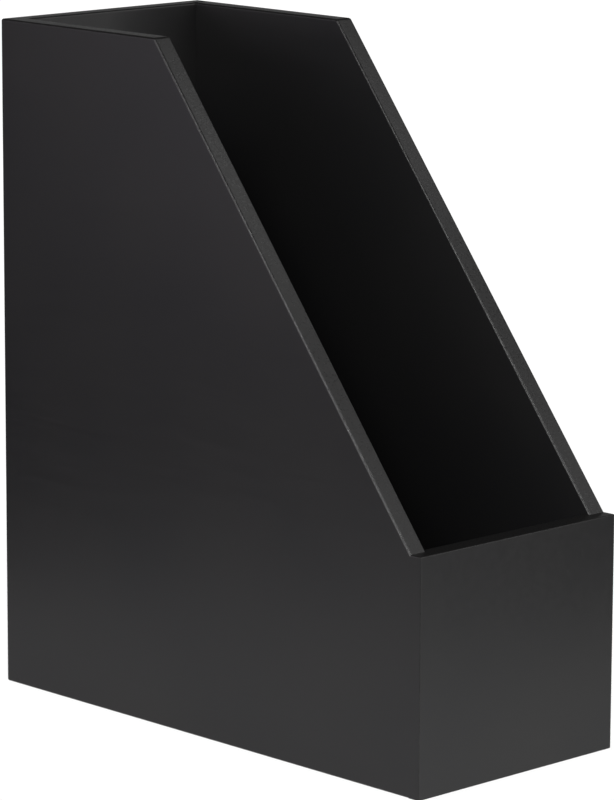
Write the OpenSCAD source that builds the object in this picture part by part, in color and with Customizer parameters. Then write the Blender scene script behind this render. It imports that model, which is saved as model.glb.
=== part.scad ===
// Magazine file holder: an open box of five lacquered boards with a long sloping front cut.
// The origin is at the middle of the footprint, on the surface that it stands on.
// X runs across the width, -Y is the low front and +Z is up.

/* [Body] */
// Width over the two side panels
body_w = 116; // [100:1:160]
// Depth from the front face to the back face
body_d = 260; // [230:1:320]
// Height of the boards, without the pads
body_h = 298; // [250:1:340]
// Height of the front panel
front_h = 102; // [80:1:150]
// Length of a side panel's flat top, measured from the back face
flat_top_d = 100; // [60:1:140]

/* [Boards and joints] */
// Thickness of every board
board_t = 9; // [8:0.5:12]
// Thickness of the lip that covers a side panel's end
lip_t = 6; // [5:0.5:7]
// How far the bottom panel is let into each wall
bottom_housing = 3; // [2:0.5:4]

/* [Brads] */
// Diameter of the brad's wire
wire_dia = 1.2; // [1:0.1:1.4]
// Diameter of the brad's head
head_dia = 2; // [1.8:0.1:2.4]
// Length of a brad with its head
brad_len = 25; // [18:1:25]
// Depth of the filler over a sunk head
filler_t = 1.2; // [0.8:0.1:1.5]
// Brads in each of the two front joints
front_brad_count = 3; // [2:1:4]
// Brads in each of the two back joints
back_brad_count = 5; // [3:1:7]
// Brads through each side panel into the bottom panel
side_brad_count = 4; // [3:1:5]
// Brads through the front and the back panel into the bottom panel
end_brad_count = 2; // [2:1:3]

/* [Pads] */
// Diameter of a felt pad
pad_dia = 12; // [8:1:16]
// Thickness of a felt pad
pad_t = 2; // [1.5:0.5:3]
// Gap from the outer faces to a pad's edge
pad_inset = 10; // [10:1:20]

/* [Hidden] */
$fn = 48;
head_t = 0.8;
point_len = 2;
point_dia = 0.3;
// Distance from a joint's end to its first brad
joint_margin = 20;
// Distance from a bottom panel's corner to its first brad
corner_margin = 34;

half_w = body_w / 2;
half_d = body_d / 2;
inner_w = body_w - 2 * board_t;
side_front_y = lip_t - half_d;
side_back_y = half_d - lip_t;
bottom_w = inner_w + 2 * bottom_housing;
bottom_d = body_d - 2 * (board_t - bottom_housing);
side_mid_x = half_w - board_t / 2;
bottom_mid_z = pad_t + board_t / 2;
pad_x = half_w - pad_inset - pad_dia / 2;
pad_y = half_d - pad_inset - pad_dia / 2;

lacquer = [0.06, 0.06, 0.065];
steel = [0.72, 0.73, 0.75];
putty = [0.62, 0.52, 0.38];
felt = [0.16, 0.16, 0.17];

// Places spread evenly from one value to another, both ends included.
function spread(count, low, high) = [for (i = [0 : count - 1]) low + i * (high - low) / (count - 1)];

// One brad lies along +Z with its sunk head's outer face at filler_t, as driven from z = 0.
module brad() {
    rotate_extrude()
        polygon([
            [0, filler_t], [head_dia / 2, filler_t],
            [head_dia / 2, filler_t + head_t], [wire_dia / 2, filler_t + head_t],
            [wire_dia / 2, filler_t + brad_len - point_len],
            [point_dia / 2, filler_t + brad_len], [0, filler_t + brad_len]
        ]);
}

// The filler that levels the face over one sunk head.
module filler_dot() {
    cylinder(d = head_dia, h = filler_t);
}

// Each of these four places its children along one pair of joints, driven inwards from a face.
// side is -1 for the left and 1 for the right; end is -1 for the front and 1 for the back.
module along_upright_joint(side, end) {
    top_z = pad_t + (end < 0 ? front_h : body_h) - joint_margin;
    count = end < 0 ? front_brad_count : back_brad_count;
    for (z = spread(count, pad_t + joint_margin, top_z))
        translate([side * side_mid_x, end * half_d, z])
            rotate([end * 90, 0, 0])
                children();
}

module along_bottom_side(side) {
    for (y = spread(side_brad_count, corner_margin - half_d, half_d - corner_margin))
        translate([side * half_w, y, bottom_mid_z])
            rotate([0, -side * 90, 0])
                children();
}

module along_bottom_end(end) {
    for (x = spread(end_brad_count, corner_margin - half_w, half_w - corner_margin))
        translate([x, end * half_d, bottom_mid_z])
            rotate([end * 90, 0, 0])
                children();
}

// The hole that a brad and its filler fill.
module brad_hole() {
    brad();
    filler_dot();
}

module every_brad_hole() {
    for (end = [-1, 1]) {
        for (side = [-1, 1])
            along_upright_joint(side, end) brad_hole();
        along_bottom_end(end) brad_hole();
    }
    for (side = [-1, 1])
        along_bottom_side(side) brad_hole();
}

module bottom_board() {
    translate([-bottom_w / 2, -bottom_d / 2, pad_t])
        cube([bottom_w, bottom_d, board_t]);
}

// A side panel is one board, cut to a flat top and a straight slope down to the front panel's top.
module side_board(side) {
    translate([side < 0 ? -half_w : half_w - board_t, 0, pad_t])
        rotate([90, 0, 90])
            linear_extrude(board_t)
                polygon([
                    [side_front_y, 0], [side_back_y, 0], [side_back_y, body_h],
                    [half_d - flat_top_d, body_h], [side_front_y, front_h]
                ]);
}

// The front and back panels have a rebate at each end, which leaves a lip over the side panels.
module end_board(end, height) {
    outer_y = end < 0 ? -half_d : half_d - lip_t;
    inner_y = end < 0 ? lip_t - half_d : half_d - board_t;
    translate([-half_w, outer_y, pad_t])
        cube([body_w, lip_t, height]);
    translate([-inner_w / 2, inner_y, pad_t])
        cube([inner_w, board_t - lip_t, height]);
}

module side_panel(side) {
    color(lacquer)
        difference() {
            side_board(side);
            bottom_board();
            every_brad_hole();
        }
}

module end_panel(end, height) {
    color(lacquer)
        difference() {
            end_board(end, height);
            bottom_board();
            every_brad_hole();
        }
}

module left_side_panel() {
    side_panel(-1);
}

module right_side_panel() {
    side_panel(1);
}

module front_panel() {
    end_panel(-1, front_h);
}

module back_panel() {
    end_panel(1, body_h);
}

module bottom_panel() {
    color(lacquer)
        difference() {
            bottom_board();
            every_brad_hole();
        }
}

module upright_brads(side, end) {
    color(steel)
        along_upright_joint(side, end) brad();
}

module bottom_side_brads(side) {
    color(steel)
        along_bottom_side(side) brad();
}

module bottom_end_brads(end) {
    color(steel)
        along_bottom_end(end) brad();
}

// The filler dots of one outer side face.
module side_filler_dots(side) {
    color(putty)
        along_bottom_side(side) filler_dot();
}

// The filler dots of the front or the back face.
module end_filler_dots(end) {
    color(putty) {
        for (side = [-1, 1])
            along_upright_joint(side, end) filler_dot();
        along_bottom_end(end) filler_dot();
    }
}

module pad(side, end) {
    color(felt)
        translate([side * pad_x, end * pad_y, 0])
            cylinder(d = pad_dia, h = pad_t);
}

left_side_panel();
right_side_panel();
front_panel();
back_panel();
bottom_panel();
upright_brads(-1, -1);  // front_left_brads
upright_brads(1, -1);  // front_right_brads
upright_brads(-1, 1);  // back_left_brads
upright_brads(1, 1);  // back_right_brads
bottom_side_brads(-1);  // bottom_left_brads
bottom_side_brads(1);  // bottom_right_brads
bottom_end_brads(-1);  // bottom_front_brads
bottom_end_brads(1);  // bottom_back_brads
side_filler_dots(-1);  // left_filler_dots
side_filler_dots(1);  // right_filler_dots
end_filler_dots(-1);  // front_filler_dots
end_filler_dots(1);  // back_filler_dots
pad(-1, -1);  // front_left_pad
pad(1, -1);  // front_right_pad
pad(-1, 1);  // back_left_pad
pad(1, 1);  // back_right_pad
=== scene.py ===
import math

import bmesh
import bpy
from mathutils import Matrix, Vector, noise as lumpField


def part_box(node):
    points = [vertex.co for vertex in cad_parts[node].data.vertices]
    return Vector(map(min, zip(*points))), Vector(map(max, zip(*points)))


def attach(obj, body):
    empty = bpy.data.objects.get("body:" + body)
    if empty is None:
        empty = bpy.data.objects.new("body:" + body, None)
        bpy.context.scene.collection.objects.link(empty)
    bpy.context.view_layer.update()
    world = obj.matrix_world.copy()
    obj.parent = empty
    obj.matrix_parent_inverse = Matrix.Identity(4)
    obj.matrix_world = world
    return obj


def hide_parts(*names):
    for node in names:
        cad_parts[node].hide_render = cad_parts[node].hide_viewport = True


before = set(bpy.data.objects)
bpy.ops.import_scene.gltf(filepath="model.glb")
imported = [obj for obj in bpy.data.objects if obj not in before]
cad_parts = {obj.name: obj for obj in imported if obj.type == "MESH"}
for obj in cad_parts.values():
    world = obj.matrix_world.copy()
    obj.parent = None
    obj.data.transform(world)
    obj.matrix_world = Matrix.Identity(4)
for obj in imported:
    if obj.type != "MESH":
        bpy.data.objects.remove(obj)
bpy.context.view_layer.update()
scene = bpy.context.scene
mm = 0.001
tiny = 0.01 * mm           # two places closer than this are one


def addObject(name, mesh):
    piece = bpy.data.objects.new(name, mesh)
    scene.collection.objects.link(piece)
    return piece


def finishPiece(piece, slot, *nodes):
    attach(piece, "root")
    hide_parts(*nodes)


def node(tree, kind, **settings):
    made = tree.nodes.new(kind)
    for key, value in settings.items():
        setattr(made, key, value)
    return made


def fill(made, **values):
    for key, value in values.items():
        made.inputs[key.replace("_", " ")].default_value = value
    return made


cameraSetup = {
    "azimuth": 43.90,      # degrees from the front face, towards the left side
    "elevation": 11.321,
    "roll": 0.241,
    "distance": 1.8577,
    "lens": 194.9,         # mm on a 36 mm sensor
    "aim": (-0.0040, -0.0074, 0.1433),
}


def addCamera(setup):
    azimuth, elevation = math.radians(setup["azimuth"]), math.radians(setup["elevation"])
    back = Vector((
        -math.sin(azimuth) * math.cos(elevation),
        -math.cos(azimuth) * math.cos(elevation),
        math.sin(elevation),
    ))
    data = bpy.data.cameras.new("camera")
    data.lens = setup["lens"]
    camera = bpy.data.objects.new("camera", data)
    scene.collection.objects.link(camera)
    camera.rotation_mode = "QUATERNION"
    turn = (-back).to_track_quat("-Z", "Y").to_matrix()
    roll = Matrix.Rotation(math.radians(setup["roll"]), 3, "Z")
    camera.rotation_quaternion = (turn @ roll).to_quaternion()
    camera.location = Vector(setup["aim"]) + back * setup["distance"]
    scene.camera = camera


addCamera(cameraSetup)
print("camera placed")


def newMaterial(name):
    material = bpy.data.materials.new(name)
    material.use_nodes = True
    tree = material.node_tree
    tree.nodes.clear()
    output = node(tree, "ShaderNodeOutputMaterial")
    shader = node(tree, "ShaderNodeBsdfPrincipled")
    tree.links.new(shader.outputs["BSDF"], output.inputs["Surface"])
    place = node(tree, "ShaderNodeTexCoord")
    return material, tree, shader, place.outputs["Object"]


def noise(tree, place, scale, detail=2.0, stretch=None, **values):
    made = fill(node(tree, "ShaderNodeTexNoise"), Scale=scale, Detail=detail, **values)
    if stretch:
        mapping = node(tree, "ShaderNodeMapping")
        mapping.inputs["Scale"].default_value = stretch
        tree.links.new(place, mapping.inputs["Vector"])
        place = mapping.outputs["Vector"]
    tree.links.new(place, made.inputs["Vector"])
    return made.outputs["Fac"]


def spreadOver(tree, factor, low, high, fromLow=0.3, fromHigh=0.7):
    # a noise seldom leaves 0.3 to 0.7, so that range is stretched over the one wanted
    made = node(tree, "ShaderNodeMapRange")
    ends = {"From Min": fromLow, "From Max": fromHigh, "To Min": low, "To Max": high}
    for key, value in ends.items():
        made.inputs[key].default_value = value
    tree.links.new(factor, made.inputs["Value"])
    return made.outputs["Result"]


def mixColours(tree, factor, first, second):
    made = node(tree, "ShaderNodeMix", data_type="RGBA")
    made.inputs["A"].default_value = (*first, 1)
    made.inputs["B"].default_value = (*second, 1)
    tree.links.new(factor, made.inputs["Factor"])
    return made.outputs["Result"]


def bump(tree, height, distance, strength=1.0, under=None):
    made = fill(node(tree, "ShaderNodeBump"), Distance=distance, Strength=strength)
    tree.links.new(height, made.inputs["Height"])
    if under:
        tree.links.new(under, made.inputs["Normal"])
    return made.outputs["Normal"]


lacquer = {
    "dark": (0.0092, 0.0092, 0.0098),
    "light": (0.0112, 0.0109, 0.0110),
    "roughness": (0.325, 0.385),
    "ior": 1.36,
    "cloudScale": 14,        # slow drift of the sprayed coat
    "cloudDetail": 3,
    "mottleScale": 260,
    "mottleDetail": 4,
    "streakScale": 420,
    "streakDetail": 5,
    "streakStretch": (1, 0.06, 1),
    "streakShare": 0.55,     # wiping marks along the board against round mottling
    "peelScale": 900,        # orange peel, about one bump a millimetre
    "peelHeight": 0.004 * mm,
}


def blackLacquer(setup):
    material, tree, shader, place = newMaterial("blackSatinLacquer")
    clouds = noise(tree, place, setup["cloudScale"], setup["cloudDetail"])
    mottle = noise(tree, place, setup["mottleScale"], setup["mottleDetail"])
    streaks = noise(tree, place, setup["streakScale"], setup["streakDetail"], setup["streakStretch"])
    peel = noise(tree, place, setup["peelScale"])
    colour = mixColours(tree, spreadOver(tree, clouds, 0, 1), setup["dark"], setup["light"])
    tree.links.new(colour, shader.inputs["Base Color"])
    handled = node(tree, "ShaderNodeMix", data_type="FLOAT")
    handled.inputs["Factor"].default_value = setup["streakShare"]
    tree.links.new(mottle, handled.inputs["A"])
    tree.links.new(streaks, handled.inputs["B"])
    rough = spreadOver(tree, handled.outputs["Result"], *setup["roughness"])
    tree.links.new(rough, shader.inputs["Roughness"])
    tree.links.new(bump(tree, peel, setup["peelHeight"]), shader.inputs["Normal"])
    shader.inputs["IOR"].default_value = setup["ior"]
    return material


cutEdge = {
    "dark": (0.0055, 0.0054, 0.0055),
    "light": (0.0150, 0.0146, 0.0144),
    "roughness": (0.22, 0.49),
    "ior": 1.36,
    "grainScale": 1000,      # specks of about a millimetre
    "grainDetail": 5,
    "grainRoughness": 0.65,
    "grainHeight": 0.055 * mm,
    "fibreScale": 2200,
    "fibreDetail": 3,
    "fibreHeight": 0.0275 * mm,
}


def lacqueredEdge(setup):
    material, tree, shader, place = newMaterial("lacqueredBoardEdge")
    grain = noise(
        tree, place, setup["grainScale"], setup["grainDetail"], Roughness=setup["grainRoughness"])
    fibre = noise(tree, place, setup["fibreScale"], setup["fibreDetail"])
    colour = mixColours(tree, spreadOver(tree, grain, 0, 1), setup["dark"], setup["light"])
    tree.links.new(colour, shader.inputs["Base Color"])
    tree.links.new(spreadOver(tree, grain, *setup["roughness"]), shader.inputs["Roughness"])
    fine = bump(tree, fibre, setup["fibreHeight"])
    tree.links.new(bump(tree, grain, setup["grainHeight"], under=fine), shader.inputs["Normal"])
    shader.inputs["IOR"].default_value = setup["ior"]
    return material


lacquerMaterial = blackLacquer(lacquer)
edgeMaterial = lacqueredEdge(cutEdge)
print("materials made")


boardSetup = {
    "arris": 1.0 * mm,       # radius of the sanded edges
    "frontArris": 0.5 * mm,
    "arrisSteps": 5,
    "bottomEase": 0.4 * mm,
    "bottomSteps": 2,
    "cutterOverlap": 1.0 * mm,
    "flatAngle": 0.5,        # degrees; faces closer than this become one
    "arrisAngle": 5,         # degrees; an outside edge sharper than this is rounded
    "shadeAngle": 40,        # degrees; an edge sharper than this shades as sharp
    "facing": 0.9,           # how squarely a broad face looks along its axis
}

leftLow, leftHigh = (Vector(c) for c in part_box("left_side_panel"))
rightLow, rightHigh = (Vector(c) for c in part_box("right_side_panel"))
frontLow, frontHigh = (Vector(c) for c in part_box("front_panel"))
backLow, backHigh = (Vector(c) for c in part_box("back_panel"))
bottomLow, bottomHigh = (Vector(c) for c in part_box("bottom_panel"))


def slopeTop():
    # where the slope meets the flat top of a side panel
    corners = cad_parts["left_side_panel"].data.vertices
    return min(v.co.y for v in corners if v.co.z > leftHigh.z - tiny)


def prism(outline, low, high, axis):
    # outline is in the two other axes, in the order X, Y, Z
    def corner(point, depth):
        place = list(point)
        place.insert(axis, depth)
        return place
    shape = bmesh.new()
    lower = [shape.verts.new(corner(p, low)) for p in outline]
    upper = [shape.verts.new(corner(p, high)) for p in outline]
    shape.faces.new(lower)
    shape.faces.new(upper)
    for i in range(len(outline)):
        j = (i + 1) % len(outline)
        shape.faces.new((lower[i], lower[j], upper[j], upper[i]))
    bmesh.ops.recalc_face_normals(shape, faces=shape.faces)
    return shape


def boxShape(low, high):
    outline = [(low[0], low[1]), (high[0], low[1]), (high[0], high[1]), (low[0], high[1])]
    return prism(outline, low[2], high[2], 2)


def carve(shape, low, high):
    # takes a box out of a board
    mesh, cutterMesh = bpy.data.meshes.new("board"), bpy.data.meshes.new("cutter")
    shape.to_mesh(mesh)
    shape.free()
    cutter = boxShape(low, high)
    cutter.to_mesh(cutterMesh)
    cutter.free()
    board, tool = addObject("board", mesh), addObject("cutter", cutterMesh)
    cut = board.modifiers.new("cut", "BOOLEAN")
    cut.operation, cut.solver, cut.object = "DIFFERENCE", "EXACT", tool
    bpy.context.view_layer.update()
    result = bmesh.new()
    result.from_object(board, bpy.context.evaluated_depsgraph_get())
    for spent in (board, tool):
        bpy.data.objects.remove(spent)
    for spent in (mesh, cutterMesh):
        bpy.data.meshes.remove(spent)
    bmesh.ops.remove_doubles(result, verts=result.verts, dist=tiny)
    bmesh.ops.dissolve_limit(
        result, angle_limit=math.radians(boardSetup["flatAngle"]),
        verts=result.verts, edges=result.edges)
    return result


def roundArrises(shape, seams, radius, steps, square=()):
    # seams are planes of joints, given as (axis, place); their edges and those in square stay
    def inSeam(edge):
        return any(
            all(abs(v.co[axis] - place) < tiny for v in edge.verts) for axis, place in seams)
    limit = math.radians(boardSetup["arrisAngle"])
    chosen = [
        e for e in shape.edges
        if e.is_manifold and e.calc_face_angle_signed() > limit
        and not inSeam(e) and e not in square
    ]
    bmesh.ops.bevel(
        shape, geom=chosen, offset=radius, segments=steps, profile=0.5,
        affect="EDGES", clamp_overlap=True)


def boardPiece(name, shape, *smoothAxes):
    # faces that look along one of smoothAxes have the fine lacquer, the rest are cut edges
    shadeLimit = math.radians(boardSetup["shadeAngle"])
    for face in shape.faces:
        face.smooth = True
        fine = any(abs(face.normal[axis]) > boardSetup["facing"] for axis in smoothAxes)
        face.material_index = 0 if fine else 1
    for edge in shape.edges:
        edge.smooth = edge.calc_face_angle(0) < shadeLimit
    mesh = bpy.data.meshes.new(name)
    shape.to_mesh(mesh)
    shape.free()
    mesh.materials.append(lacquerMaterial)
    mesh.materials.append(edgeMaterial)
    piece = addObject(name, mesh)
    evened = piece.modifiers.new("evenNormals", "WEIGHTED_NORMAL")
    evened.keep_sharp = True
    evened.weight = 100
    return piece


def makeSidePanel(name, side, low, high):
    outline = [
        (low.y, low.z), (high.y, low.z), (high.y, high.z),
        (slopeTop(), high.z), (low.y, frontHigh.z),
    ]
    shape = prism(outline, low.x, high.x, 0)
    inner, housing = (low.x, bottomHigh.x) if side > 0 else (high.x, bottomLow.x)
    over = boardSetup["cutterOverlap"]
    past = inner - side * over
    shape = carve(
        shape, (min(housing, past), low.y - over, low.z - over),
        (max(housing, past), high.y + over, bottomHigh.z))
    bmesh.ops.bisect_plane(
        shape, geom=[*shape.verts, *shape.edges, *shape.faces],
        plane_co=(0, backLow.y, 0), plane_no=(0, 1, 0))
    besideBack = {
        e for e in shape.edges
        if all(abs(v.co.x - inner) < tiny and v.co.y > backLow.y - tiny for v in e.verts)
    }
    seams = [(1, low.y), (1, high.y), (2, bottomHigh.z), (0, housing)]
    roundArrises(shape, seams, boardSetup["arris"], boardSetup["arrisSteps"], besideBack)
    return boardPiece(name, shape, 0)


def makeEndPanel(name, end, low, high):
    # a board with a rebate at each end, which leaves a lip over the side panels
    shape = boxShape(low, high)
    over = boardSetup["cutterOverlap"]
    lipInner, past = (leftLow.y, high.y + over) if end < 0 else (leftHigh.y, low.y - over)
    nearY, farY = min(lipInner, past), max(lipInner, past)
    under, above = low.z - over, high.z + over
    shape = carve(shape, (low.x - over, nearY, under), (leftHigh.x, farY, above))
    shape = carve(shape, (rightLow.x, nearY, under), (high.x + over, farY, above))
    shape = carve(shape, (low.x, nearY, under), (high.x, farY, bottomHigh.z))
    seams = [(1, lipInner), (0, leftHigh.x), (0, rightLow.x), (2, bottomHigh.z)]
    radius = boardSetup["frontArris" if end < 0 else "arris"]
    roundArrises(shape, seams, radius, boardSetup["arrisSteps"])
    return boardPiece(name, shape, 0, 1)


def makeBottomPanel():
    shape = boxShape(bottomLow, bottomHigh)
    roundArrises(shape, [], boardSetup["bottomEase"], boardSetup["bottomSteps"])
    return boardPiece("bottomPanel", shape, 2)


leftPanel = makeSidePanel("leftSidePanel", -1, leftLow, leftHigh)
finishPiece(leftPanel, "black_lacquer", "left_side_panel")
rightPanel = makeSidePanel("rightSidePanel", 1, rightLow, rightHigh)
finishPiece(rightPanel, "black_lacquer", "right_side_panel")
frontPanel = makeEndPanel("frontPanel", -1, frontLow, frontHigh)
finishPiece(frontPanel, "black_lacquer", "front_panel")
backPanel = makeEndPanel("backPanel", 1, backLow, backHigh)
finishPiece(backPanel, "black_lacquer", "back_panel")
finishPiece(makeBottomPanel(), "black_lacquer", "bottom_panel")
print("five boards made")


bradSetup = {
    "wireRadius": 0.6 * mm,
    "headRadius": 1.0 * mm,
    "headHeight": 0.8 * mm,
    "length": 25 * mm,
    "pointLength": 2 * mm,
    "pointRadius": 0.15 * mm,
    "sunk": 1.2 * mm,
    "sides": 20,
    "dark": (0.44, 0.45, 0.47),
    "light": (0.60, 0.61, 0.62),
    "roughness": (0.22, 0.42),
    "drawnScale": 900,       # marks of the drawing die
    "drawnDetail": 3,
}
fillerSetup = {
    "film": 0.15 * mm,       # lacquer over each dot
    "dark": (0.30, 0.21, 0.12),
    "light": (0.46, 0.35, 0.22),
    "roughness": 0.85,
    "gritScale": 4000,
    "gritDetail": 4,
    "gritHeight": 0.02 * mm,
}
bradRuns = {
    # node: (brads in the run, axis of the run, axis and way that they are driven)
    "front_left_brads": (3, 2, 1, 1),
    "front_right_brads": (3, 2, 1, 1),
    "back_left_brads": (5, 2, 1, -1),
    "back_right_brads": (5, 2, 1, -1),
    "bottom_left_brads": (4, 1, 0, 1),
    "bottom_right_brads": (4, 1, 0, -1),
    "bottom_front_brads": (2, 0, 1, 1),
    "bottom_back_brads": (2, 0, 1, -1),
}
dotRuns = {
    "left_filler_dots": ["bottom_left_brads"],
    "right_filler_dots": ["bottom_right_brads"],
    "front_filler_dots": ["front_left_brads", "front_right_brads", "bottom_front_brads"],
    "back_filler_dots": ["back_left_brads", "back_right_brads", "bottom_back_brads"],
}


def bradMaterial(setup):
    material, tree, shader, place = newMaterial("drawnSteelWire")
    drawn = noise(tree, place, setup["drawnScale"], setup["drawnDetail"])
    colour = mixColours(tree, drawn, setup["dark"], setup["light"])
    tree.links.new(colour, shader.inputs["Base Color"])
    tree.links.new(spreadOver(tree, drawn, *setup["roughness"]), shader.inputs["Roughness"])
    shader.inputs["Metallic"].default_value = 1
    return material


def fillerMaterial(setup):
    material, tree, shader, place = newMaterial("sandedWoodFiller")
    grit = noise(tree, place, setup["gritScale"], setup["gritDetail"])
    colour = mixColours(tree, grit, setup["dark"], setup["light"])
    tree.links.new(colour, shader.inputs["Base Color"])
    tree.links.new(bump(tree, grit, setup["gritHeight"]), shader.inputs["Normal"])
    shader.inputs["Roughness"].default_value = setup["roughness"]
    return material


class TreeMaker:
    # builds a Geometry Nodes tree with named inputs
    def __init__(self, name):
        self.tree = bpy.data.node_groups.new(name, "GeometryNodeTree")
        self.tree.is_modifier = True
        self.tree.interface.new_socket("Geometry", in_out="INPUT", socket_type="NodeSocketGeometry")
        self.tree.interface.new_socket("Geometry", in_out="OUTPUT", socket_type="NodeSocketGeometry")
        self.names = {}
        self.entry = None

    def addInput(self, name, kind="Float"):
        made = self.tree.interface.new_socket(name, in_out="INPUT", socket_type=f"NodeSocket{kind}")
        self.names[name] = made.identifier

    def start(self):
        self.entry = self.tree.nodes.new("NodeGroupInput")

    def given(self, name):
        return self.entry.outputs[name]

    def add(self, kind, links=(), **settings):
        made = node(self.tree, kind, **settings)
        for key, value in dict(links).items():
            if isinstance(value, bpy.types.NodeSocket):
                self.tree.links.new(value, made.inputs[key])
            else:
                made.inputs[key].default_value = value
        return made

    def sum(self, *values):
        total = values[0]
        for value in values[1:]:
            total = self.add("ShaderNodeMath", {0: total, 1: value}, operation="ADD").outputs[0]
        return total

    def scaled(self, value, factor):
        return self.add("ShaderNodeMath", {0: value, 1: factor}, operation="MULTIPLY").outputs[0]

    def lifted(self, geometry, height):
        offset = self.add("ShaderNodeCombineXYZ", {"Z": height}).outputs[0]
        return self.add(
            "GeometryNodeTransform", {"Geometry": geometry, "Translation": offset}).outputs[0]

    def joined(self, *geometries):
        made = self.add("GeometryNodeJoinGeometry")
        for geometry in geometries:
            self.tree.links.new(geometry, made.inputs[0])
        return made.outputs[0]

    def finish(self, instances, material):
        real = self.add("GeometryNodeRealizeInstances", {0: instances}).outputs[0]
        dressed = self.add(
            "GeometryNodeSetMaterial", {"Geometry": real, "Material": material}).outputs[0]
        outlet = self.tree.nodes.new("NodeGroupOutput")
        self.tree.links.new(dressed, outlet.inputs[0])

    def apply(self, piece, **values):
        # runs the tree on a piece and leaves a plain mesh
        modifier = piece.modifiers.new("grown", "NODES")
        modifier.node_group = self.tree
        for name, value in values.items():
            modifier[self.names[name]] = value
        bpy.context.view_layer.update()
        grown = bpy.data.meshes.new_from_object(
            piece.evaluated_get(bpy.context.evaluated_depsgraph_get()))
        piece.modifiers.remove(modifier)
        piece.data = grown
        grown.name = piece.name
        return piece


bradSizes = ("wireRadius", "headRadius", "headHeight", "length", "pointLength", "pointRadius", "sunk")


def bradTree(material):
    # one brad on each point, driven along +Z and then turned
    maker = TreeMaker("bradRun")
    for name in bradSizes:
        maker.addInput(name)
    maker.addInput("turn", "Vector")
    maker.start()
    wire, head = maker.given("wireRadius"), maker.given("headRadius")
    shankLength = maker.sum(
        maker.given("length"), maker.scaled(maker.given("pointLength"), -1),
        maker.scaled(maker.given("headHeight"), -1))
    sides = bradSetup["sides"]
    headPart = maker.add("GeometryNodeMeshCylinder", {
        "Vertices": sides, "Radius": head, "Depth": maker.given("headHeight")}).outputs["Mesh"]
    shank = maker.add("GeometryNodeMeshCylinder", {
        "Vertices": sides, "Radius": wire, "Depth": shankLength}).outputs["Mesh"]
    point = maker.add("GeometryNodeMeshCone", {
        "Vertices": sides, "Radius Bottom": wire, "Radius Top": maker.given("pointRadius"),
        "Depth": maker.given("pointLength")}).outputs["Mesh"]
    shankStart = maker.sum(maker.given("sunk"), maker.given("headHeight"))
    brad = maker.joined(
        maker.lifted(headPart, maker.sum(
            maker.given("sunk"), maker.scaled(maker.given("headHeight"), 0.5))),
        maker.lifted(shank, maker.sum(shankStart, maker.scaled(shankLength, 0.5))),
        maker.lifted(point, maker.sum(shankStart, shankLength)))
    points = maker.add("GeometryNodeMeshToPoints", {"Mesh": maker.given("Geometry")}).outputs[0]
    placed = maker.add("GeometryNodeInstanceOnPoints", {
        "Points": points, "Instance": brad, "Rotation": maker.given("turn")}).outputs[0]
    maker.finish(placed, material)
    return maker


def dotTree(material):
    # one plug of filler on each point, just under the lacquer
    maker = TreeMaker("fillerDots")
    for name in ("radius", "depth", "film"):
        maker.addInput(name)
    maker.addInput("turn", "Vector")
    maker.start()
    height = maker.sum(maker.given("depth"), maker.scaled(maker.given("film"), -1))
    plug = maker.add("GeometryNodeMeshCylinder", {
        "Vertices": bradSetup["sides"], "Radius": maker.given("radius"),
        "Depth": height}).outputs["Mesh"]
    plug = maker.lifted(plug, maker.sum(maker.given("film"), maker.scaled(height, 0.5)))
    points = maker.add("GeometryNodeMeshToPoints", {"Mesh": maker.given("Geometry")}).outputs[0]
    placed = maker.add("GeometryNodeInstanceOnPoints", {
        "Points": points, "Instance": plug, "Rotation": maker.given("turn")}).outputs[0]
    maker.finish(placed, material)
    return maker


def headPlaces(run):
    # the points on the outer face where a run's brads go in
    count, along, driven, way = bradRuns[run]
    low, high = (Vector(c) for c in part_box(run))
    start, end = low[along] + bradSetup["headRadius"], high[along] - bradSetup["headRadius"]
    places = []
    for i in range(count):
        place = (low + high) / 2
        place[along] = start + (end - start) * i / (count - 1)
        place[driven] = (low if way > 0 else high)[driven] - way * bradSetup["sunk"]
        places.append(place)
    return places


def driveTurn(run):
    driven, way = bradRuns[run][2:]
    quarter = math.pi / 2
    return (-way * quarter, 0, 0) if driven == 1 else (0, way * quarter, 0)


def pointsPiece(name, places):
    mesh = bpy.data.meshes.new(name)
    mesh.from_pydata(places, [], [])
    return addObject(name, mesh)


def plainName(nodeName):
    first, *rest = nodeName.split("_")
    return first + "".join(word.capitalize() for word in rest)


wireMaterial = bradMaterial(bradSetup)
plugMaterial = fillerMaterial(fillerSetup)
brads, dots = bradTree(wireMaterial), dotTree(plugMaterial)
for run in bradRuns:
    sizes = {name: bradSetup[name] for name in bradSizes}
    piece = brads.apply(pointsPiece(plainName(run), headPlaces(run)), turn=driveTurn(run), **sizes)
    finishPiece(piece, "brad_steel", run)
for face, runs in dotRuns.items():
    places = [place for run in runs for place in headPlaces(run)]
    piece = dots.apply(
        pointsPiece(plainName(face), places), turn=driveTurn(runs[0]),
        radius=bradSetup["headRadius"], depth=bradSetup["sunk"], film=fillerSetup["film"])
    finishPiece(piece, "wood_filler", face)
print("brads and filler dots made")


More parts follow.
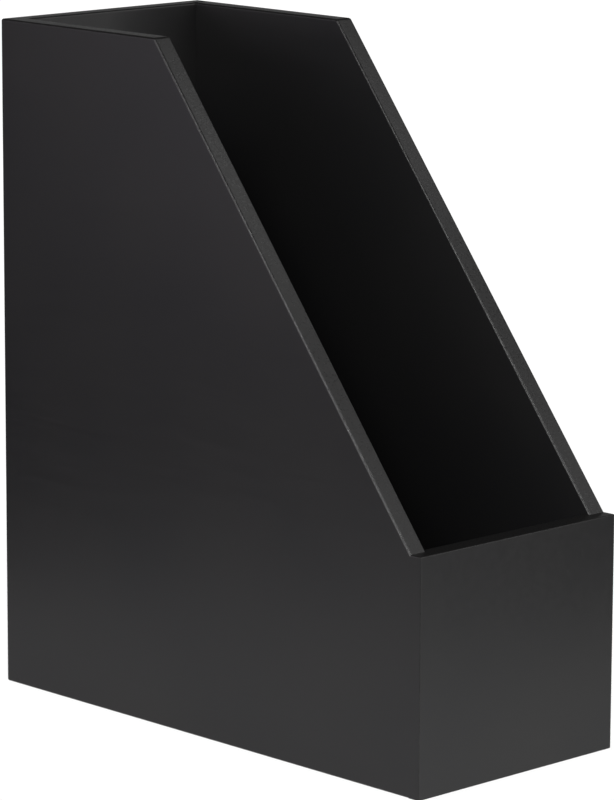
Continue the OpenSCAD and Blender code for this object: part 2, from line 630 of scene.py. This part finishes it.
padSetup = {
    "rings": 10,
    "sides": 72,
    "edge": 0.35 * mm,       # roundness of the lower edge
    "edgeSteps": 4,
    "wallSteps": 4,
    "lumps": 0.05 * mm,      # unevenness of the punched rim
    "lumpScale": 900,
    "lumpShift": 0.6,        # draws the rim inwards, so that few lumps pass its radius
    "fibres": 2400,          # on a whole disc, both faces
    "fibreLength": 0.6 * mm,
    "fibreRadius": 0.012 * mm,
    "fibreBend": 0.22,       # height of a fibre's arch against half its length
    "fibreBand": 0.4 * mm,   # how far from the disc's middle height they start
    "seed": 7,
    "dark": (0.012, 0.012, 0.013),
    "light": (0.052, 0.051, 0.053),
    "roughness": (0.88, 1.0),
    "mattedScale": 1500,
    "mattedDetail": 6,
    "mattedRoughness": 0.7,
    "mattedHeight": 0.12 * mm,
    "patchScale": 300,
    "patchDetail": 3,
    "sheen": 0.25,
    "sheenRoughness": 0.6,
}


def feltMaterial(setup):
    material, tree, shader, place = newMaterial("pressedFelt")
    matted = noise(
        tree, place, setup["mattedScale"], setup["mattedDetail"], Roughness=setup["mattedRoughness"])
    patches = noise(tree, place, setup["patchScale"], setup["patchDetail"])
    colour = mixColours(tree, matted, setup["dark"], setup["light"])
    tree.links.new(colour, shader.inputs["Base Color"])
    tree.links.new(spreadOver(tree, patches, *setup["roughness"]), shader.inputs["Roughness"])
    tree.links.new(bump(tree, matted, setup["mattedHeight"]), shader.inputs["Normal"])
    shader.inputs["Sheen Weight"].default_value = setup["sheen"]
    shader.inputs["Sheen Roughness"].default_value = setup["sheenRoughness"]
    return material


def fibreTree(material):
    # short fibres that lie almost flat on the disc's rim
    maker = TreeMaker("feltFibres")
    for name in ("length", "radius", "bend", "density", "middle", "band"):
        maker.addInput(name)
    maker.addInput("seed", "Int")
    maker.start()
    felt = maker.given("Geometry")
    half = maker.scaled(maker.given("length"), 0.5)
    place = maker.add("GeometryNodeInputPosition").outputs[0]
    rise = maker.add("ShaderNodeSeparateXYZ", {0: place}).outputs["Z"]
    onCutEdge = maker.add("ShaderNodeMath", {
        0: rise, 1: maker.given("middle"), 2: maker.given("band")}, operation="COMPARE").outputs[0]
    spot = maker.add("GeometryNodeDistributePointsOnFaces", {
        "Mesh": felt, "Selection": onCutEdge,
        "Density": maker.given("density"), "Seed": maker.given("seed")})
    end = maker.add("ShaderNodeCombineXYZ", {"X": half}).outputs[0]
    start = maker.add("ShaderNodeCombineXYZ", {"X": maker.scaled(half, -1)}).outputs[0]
    middle = maker.add("ShaderNodeCombineXYZ", {
        "Z": maker.scaled(half, maker.given("bend"))}).outputs[0]
    arch = maker.add("GeometryNodeCurveQuadraticBezier", {
        "Resolution": 4, "Start": start, "Middle": middle, "End": end}).outputs[0]
    ring = maker.add("GeometryNodeCurvePrimitiveCircle", {
        "Resolution": 3, "Radius": maker.given("radius")}).outputs[0]
    fibre = maker.add("GeometryNodeCurveToMesh", {
        "Curve": arch, "Profile Curve": ring, "Fill Caps": True}).outputs[0]
    spin = maker.add("FunctionNodeRandomValue", {
        2: 0.0, 3: math.tau, "Seed": maker.given("seed")}, data_type="FLOAT")
    turn = maker.add("FunctionNodeAxisAngleToRotation", {
        "Axis": (0, 0, 1), "Angle": spin.outputs[1]}).outputs[0]
    both = maker.add("FunctionNodeRotateRotation", {
        "Rotation": spot.outputs["Rotation"], "Rotate By": turn}, rotation_space="LOCAL").outputs[0]
    placed = maker.add("GeometryNodeInstanceOnPoints", {
        "Points": spot.outputs["Points"], "Instance": fibre, "Rotation": both}).outputs[0]
    maker.finish(maker.joined(felt, placed), material)
    return maker


def feltDisc(name, low, high):
    # a punched disc with a soft edge; its underside stays flat on the floor
    centre = (low + high) / 2
    radius, thickness = (high.x - low.x) / 2, high.z - low.z
    edge, rings, sides = padSetup["edge"], padSetup["rings"], padSetup["sides"]
    edgeSteps, wallSteps = padSetup["edgeSteps"], padSetup["wallSteps"]
    profile = [((radius - edge) * i / rings, low.z) for i in range(1, rings + 1)]
    for i in range(1, edgeSteps + 1):
        turn = math.pi / 2 * i / edgeSteps
        profile.append((radius - edge + edge * math.sin(turn), low.z + edge * (1 - math.cos(turn))))
    for i in range(1, wallSteps + 1):
        profile.append((radius, low.z + edge + (thickness - edge) * i / wallSteps))
    shape = bmesh.new()
    bottom = shape.verts.new((centre.x, centre.y, low.z))
    loops = []
    for r, z in profile:
        loop = []
        for i in range(sides):
            angle = math.tau * i / sides
            across = Vector((math.cos(angle), math.sin(angle), 0))
            place = centre + across * r
            spot = Vector((place.x, place.y, z)) * padSetup["lumpScale"]
            lump = padSetup["lumps"] * (lumpField.noise(spot) - padSetup["lumpShift"])
            place += across * lump if z > low.z + tiny else Vector()
            place.z = z
            loop.append(shape.verts.new(place))
        loops.append(loop)
    for i in range(sides):
        j = (i + 1) % sides
        shape.faces.new((bottom, loops[0][j], loops[0][i]))
        for inner, outer in zip(loops, loops[1:]):
            shape.faces.new((inner[i], inner[j], outer[j], outer[i]))
    shape.faces.new(loops[-1])
    bmesh.ops.recalc_face_normals(shape, faces=shape.faces)
    for face in shape.faces:
        face.smooth = True
    mesh = bpy.data.meshes.new(name)
    shape.to_mesh(mesh)
    shape.free()
    return addObject(name, mesh)


fibres = fibreTree(feltMaterial(padSetup))
for i, name in enumerate(("front_left_pad", "front_right_pad", "back_left_pad", "back_right_pad")):
    low, high = (Vector(c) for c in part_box(name))
    disc = feltDisc(plainName(name), low, high)
    bothFaces = math.pi * ((high.x - low.x) / 2) ** 2 * 2
    pad = fibres.apply(
        disc, length=padSetup["fibreLength"], radius=padSetup["fibreRadius"],
        bend=padSetup["fibreBend"], density=padSetup["fibres"] / bothFaces,
        middle=(low.z + high.z) / 2, band=padSetup["fibreBand"], seed=padSetup["seed"] + i)
    finishPiece(pad, "felt", name)
print("felt pads made")


studio = {
    "floorRadius": 1.1,
    "floorSides": 96,
    "floorFade": (0.26, 0.47),   # metres from the middle over which the floor thins out
    "floorColour": (0.82, 0.82, 0.81),
    "floorRoughness": 0.9,
    "floorGlow": 0.18,       # lifts the paper between the lights
    "floorWhite": 0.88,      # how far the camera sees the floor blown out to white
    "ground": 1.08,          # what the camera sees round the floor
    "room": 0.0,             # what the object mirrors there
    "lightsAim": (0, 0, 0.1),
    "lightsGap": 0.01,       # least height of a light's lower edge
}


def addFloor(setup):
    shape = bmesh.new()
    bmesh.ops.create_circle(
        shape, cap_ends=True, segments=setup["floorSides"], radius=setup["floorRadius"])
    mesh = bpy.data.meshes.new("floor")
    shape.to_mesh(mesh)
    shape.free()
    floor = addObject("floor", mesh)
    material, tree, shader, place = newMaterial("paleFloor")
    shader.inputs["Base Color"].default_value = (*setup["floorColour"], 1)
    shader.inputs["Roughness"].default_value = setup["floorRoughness"]
    shader.inputs["Emission Color"].default_value = (1, 1, 1, 1)
    shader.inputs["Emission Strength"].default_value = setup["floorGlow"]
    output = next(n for n in tree.nodes if n.type == "OUTPUT_MATERIAL")
    distance = node(tree, "ShaderNodeVectorMath", operation="LENGTH")
    tree.links.new(place, distance.inputs[0])
    fade = node(tree, "ShaderNodeMapRange", interpolation_type="SMOOTHSTEP")
    fadeStart, fadeEnd = setup["floorFade"]
    fade.inputs["From Min"].default_value = fadeStart
    fade.inputs["From Max"].default_value = fadeEnd
    tree.links.new(distance.outputs["Value"], fade.inputs["Value"])
    path = node(tree, "ShaderNodeLightPath")
    white = node(tree, "ShaderNodeMath", operation="MULTIPLY")
    white.inputs[1].default_value = setup["floorWhite"]
    tree.links.new(path.outputs["Is Camera Ray"], white.inputs[0])
    cleared = node(tree, "ShaderNodeMath", operation="MAXIMUM")
    tree.links.new(fade.outputs["Result"], cleared.inputs[0])
    tree.links.new(white.outputs[0], cleared.inputs[1])
    clear = node(tree, "ShaderNodeBsdfTransparent")
    mix = node(tree, "ShaderNodeMixShader")
    tree.links.new(cleared.outputs[0], mix.inputs["Fac"])
    tree.links.new(shader.outputs["BSDF"], mix.inputs[1])
    tree.links.new(clear.outputs["BSDF"], mix.inputs[2])
    tree.links.new(mix.outputs["Shader"], output.inputs["Surface"])
    mesh.materials.append(material)


def addWorld(setup):
    world = bpy.data.worlds.new("studio")
    scene.world = world
    world.use_nodes = True
    tree = world.node_tree
    tree.nodes.clear()
    output = node(tree, "ShaderNodeOutputWorld")
    ground, room = node(tree, "ShaderNodeBackground"), node(tree, "ShaderNodeBackground")
    ground.inputs["Color"].default_value = (1, 1, 1, 1)
    ground.inputs["Strength"].default_value = setup["ground"]
    room.inputs["Color"].default_value = (1, 1, 1, 1)
    room.inputs["Strength"].default_value = setup["room"]
    path = node(tree, "ShaderNodeLightPath")
    mix = node(tree, "ShaderNodeMixShader")
    tree.links.new(path.outputs["Is Camera Ray"], mix.inputs["Fac"])
    tree.links.new(room.outputs["Background"], mix.inputs[1])
    tree.links.new(ground.outputs["Background"], mix.inputs[2])
    tree.links.new(mix.outputs["Shader"], output.inputs["Surface"])


leftTint = (1.0, 0.92, 1.03)     # a trace of violet
softBoxes = {
    # degrees from the front face towards the right side, degrees up, metres away
    "keySpot": {"at": (-61, 39, 1.6), "size": (0.40, 0.40), "watts": 8.9},
    "keyFill": {"at": (-75, 30, 1.6), "size": (0.40, 0.40), "watts": 4.4},
    "keyWide": {"at": (-42, 24, 2.6), "size": (1.01, 0.72), "watts": 9.7},
    "leftSide": {"at": (-85, 10, 2.6), "size": (1.30, 0.58), "watts": 21.6},
    "leftBack": {"at": (-125, 20, 2.0), "size": (0.90, 0.50), "watts": 3.9, "tint": leftTint},
    "leftNear": {"at": (-119, 9, 1.3), "size": (0.62, 0.22), "watts": 1.8, "tint": leftTint},
    "leftFoot": {"at": (-122, 2, 1.0), "size": (0.30, 0.10), "watts": 0.24, "tint": leftTint},
    "front": {"at": (0, 15, 2.6), "size": (1.16, 0.87), "watts": 20.9},
    "frontStrip": {"at": (15, 3, 2.6), "size": (1.38, 0.38), "watts": 35.0},
    "rightFront": {"at": (45, 22, 2.6), "size": (1.30, 0.72), "watts": 5.2},
    "rightNear": {"at": (54, 49, 0.95), "size": (0.35, 0.35), "watts": 0.82},
    "rightSide": {"at": (95, 12, 2.2), "size": (1.20, 0.80), "watts": 1.8},
    "rightBack": {"at": (136, 14, 2.4), "size": (1.50, 0.70), "watts": 0.95},
    "back": {"at": (185, 15, 2.2), "size": (1.20, 0.80), "watts": 1.5},
}


def addSoftBox(name, setup):
    azimuth, elevation = (math.radians(angle) for angle in setup["at"][:2])
    outwards = Vector((
        math.sin(azimuth) * math.cos(elevation),
        -math.cos(azimuth) * math.cos(elevation),
        math.sin(elevation),
    ))
    data = bpy.data.lights.new(name, "AREA")
    data.shape = "RECTANGLE"
    data.size, data.size_y = setup["size"]
    data.energy = setup["watts"]
    data.color = setup.get("tint", (1, 1, 1))
    light = bpy.data.objects.new(name, data)
    aim = Vector(studio["lightsAim"])
    light.location = aim + outwards * setup["at"][2]
    light.location.z = max(light.location.z, data.size_y / 2 + studio["lightsGap"])
    light.rotation_mode = "QUATERNION"
    light.rotation_quaternion = (aim - light.location).to_track_quat("-Z", "Y")
    light.visible_camera = False
    scene.collection.objects.link(light)


addFloor(studio)
addWorld(studio)
for name, setup in softBoxes.items():
    addSoftBox(name, setup)
scene.view_settings.view_transform = "Standard"
print("studio lit")
